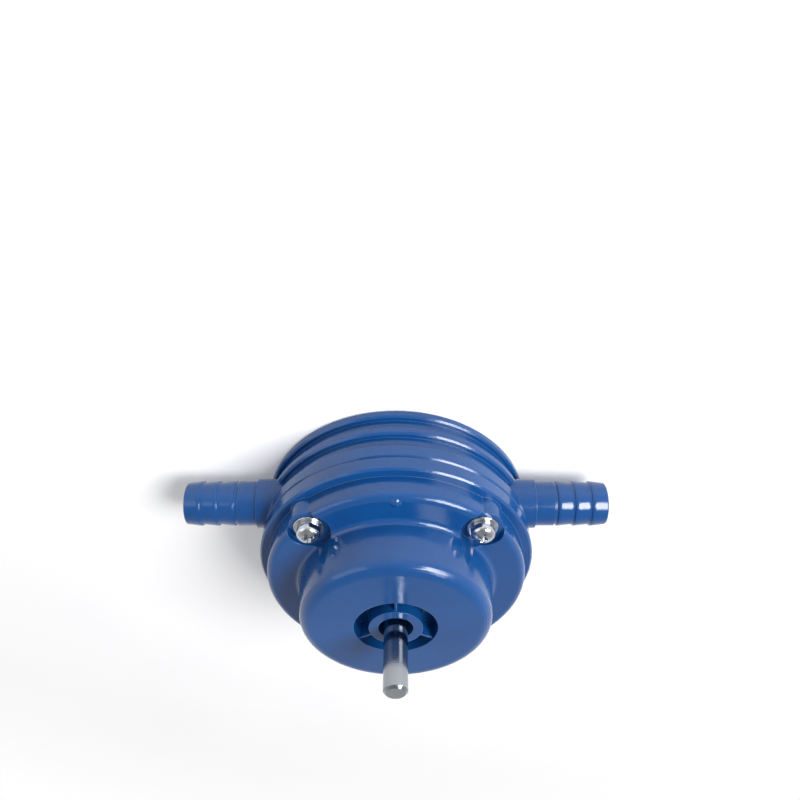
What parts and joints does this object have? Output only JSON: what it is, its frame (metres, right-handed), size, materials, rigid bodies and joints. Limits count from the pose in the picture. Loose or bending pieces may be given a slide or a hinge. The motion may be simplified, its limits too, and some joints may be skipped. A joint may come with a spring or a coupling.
{
  "type": "self-priming vane pump",
  "caption": "Blue round drill-driven vane pump with two barbed hose tails, a domed cover with screws and a plain drive shaft.",
  "frame": {"origin": "on the shaft's axis, at the flat back face", "axes": "+Z along the shaft, out of the nose; +X along the inlet hose tail; the hose tails lie on the -Y side of the shaft"},
  "size_m": [0.179, 0.116, 0.093],
  "materials": {
    "blue_plastic": "glossy mid-blue ABS, injection moulded",
    "white_plastic": "natural white acetal, as moulded",
    "vane_plastic": "black graphite-filled nylon",
    "seal_rubber": "black nitrile rubber",
    "plated_steel": "bright zinc-plated steel",
    "polished_steel": "ground and polished steel bar",
    "bearing_steel": "hardened and ground bearing steel",
    "spring_steel": "blackened spring steel",
    "seal_case_steel": "pressed sheet steel",
    "garter_steel": "wound steel spring wire",
    "bronze": "oil-filled sintered bronze",
    "brass": "turned brass",
    "cage_brass": "machined brass",
    "strainer_plastic": "natural white polypropylene"
  },
  "bodies": {
    "pump_housing": {"pump_body": "blue_plastic", "front_cover": "blue_plastic", "inlet_hose_tail": "blue_plastic", "outlet_hose_tail": "blue_plastic", "cover_screws": "plated_steel", "screw_washers": "plated_steel", "screw_inserts": "brass", "cover_ring_seal": "seal_rubber", "chamber_plate": "white_plastic", "chamber_ring_seal": "seal_rubber", "inlet_strainer": "strainer_plastic", "rear_bush": "bronze", "bearing_outer_ring": "bearing_steel", "bearing_circlip": "spring_steel", "seal_case_ring": "seal_case_steel", "seal_lip": "seal_rubber", "seal_garter_ring": "garter_steel"},
    "drive_assembly": {"drive_shaft": "polished_steel", "rotor": "white_plastic", "rotor_drive_pin": "bearing_steel", "shaft_circlips": "spring_steel", "bearing_inner_ring": "bearing_steel"},
    "bearing_cage_set": {"bearing_balls": "bearing_steel", "bearing_cage": "cage_brass"},
    "first_vane": {"vane_1": "vane_plastic"},
    "second_vane": {"vane_2": "vane_plastic"},
    "third_vane": {"vane_3": "vane_plastic"},
    "fourth_vane": {"vane_4": "vane_plastic"}
  },
  "joints": [
    {"name": "shaft_spin", "type": "hinge", "parent": "pump_housing", "child": "drive_assembly", "pos_m": [0, 0, 0.06], "axis": [0, 0, 1], "continuous": true},
    {"name": "bearing_cage_spin", "type": "hinge", "parent": "pump_housing", "child": "bearing_cage_set", "pos_m": [0, 0, 0.051], "axis": [0, 0, 1], "continuous": true},
    {"name": "vane_1_slide", "type": "slide", "parent": "drive_assembly", "child": "first_vane", "axis": [1, 0, 0], "range_m": [-0.0019, 0]},
    {"name": "vane_2_slide", "type": "slide", "parent": "drive_assembly", "child": "second_vane", "axis": [0, 1, 0], "range_m": [-0.0019, 0]},
    {"name": "vane_3_slide", "type": "slide", "parent": "drive_assembly", "child": "third_vane", "axis": [-1, 0, 0], "range_m": [-0.0019, 0]},
    {"name": "vane_4_slide", "type": "slide", "parent": "drive_assembly", "child": "fourth_vane", "axis": [0, -1, 0], "range_m": [-0.0019, 0]}
  ],
  "couplings": [
    {"joint": "bearing_cage_spin", "follows": "shaft_spin", "ratio": 0.375}
  ]
}
